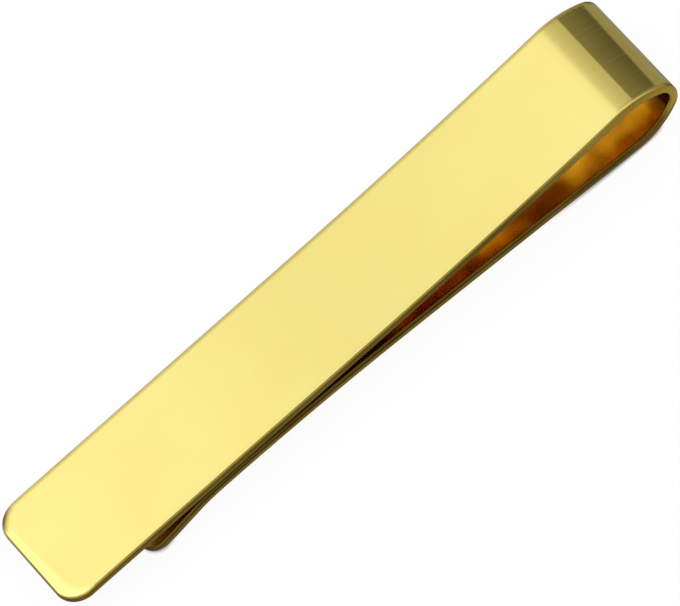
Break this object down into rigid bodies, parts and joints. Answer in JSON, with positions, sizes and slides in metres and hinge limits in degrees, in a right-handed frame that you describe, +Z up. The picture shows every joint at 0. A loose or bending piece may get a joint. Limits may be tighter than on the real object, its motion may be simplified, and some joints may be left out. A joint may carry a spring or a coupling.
{
  "type": "tie clip",
  "caption": "Slide-on tie clip: a polished gold-plated strip folded into a flat front bar and a springy back leg with a turned-out tip.",
  "frame": {"origin": "on the table, under the middle of the clip's length and width", "axes": "+X along the clip from the free end of the bar to the closed fold, +Y across the strip, +Z up out of the front face, with the clip lying on its back"},
  "size_m": [0.054, 0.01, 0.0046],
  "materials": {
    "gold_plated_brass": "bright polished gold plate over brass strip"
  },
  "bodies": {
    "leg": {"back_leg": "gold_plated_brass", "grip_crest": "gold_plated_brass", "lip_bend": "gold_plated_brass", "lead_in_lip": "gold_plated_brass"},
    "heel": {"lower_fold": "gold_plated_brass", "rear_crown": "gold_plated_brass"},
    "front": {"front_crown": "gold_plated_brass", "upper_fold": "gold_plated_brass", "front_shoulder": "gold_plated_brass", "front_bar": "gold_plated_brass"}
  },
  "joints": [
    {"name": "leg_flex", "type": "hinge", "parent": "leg", "child": "heel", "pos_m": [0.02259, 0, 0.00001], "axis": [0, 1, 0], "range_deg": [0, 3], "stiffness_Nm_per_rad": 2.35},
    {"name": "fold_flex", "type": "hinge", "parent": "heel", "child": "front", "pos_m": [0.02701, 0, 0.00251], "axis": [0, 1, 0], "range_deg": [0, 2.5], "stiffness_Nm_per_rad": 2.9}
  ]
}
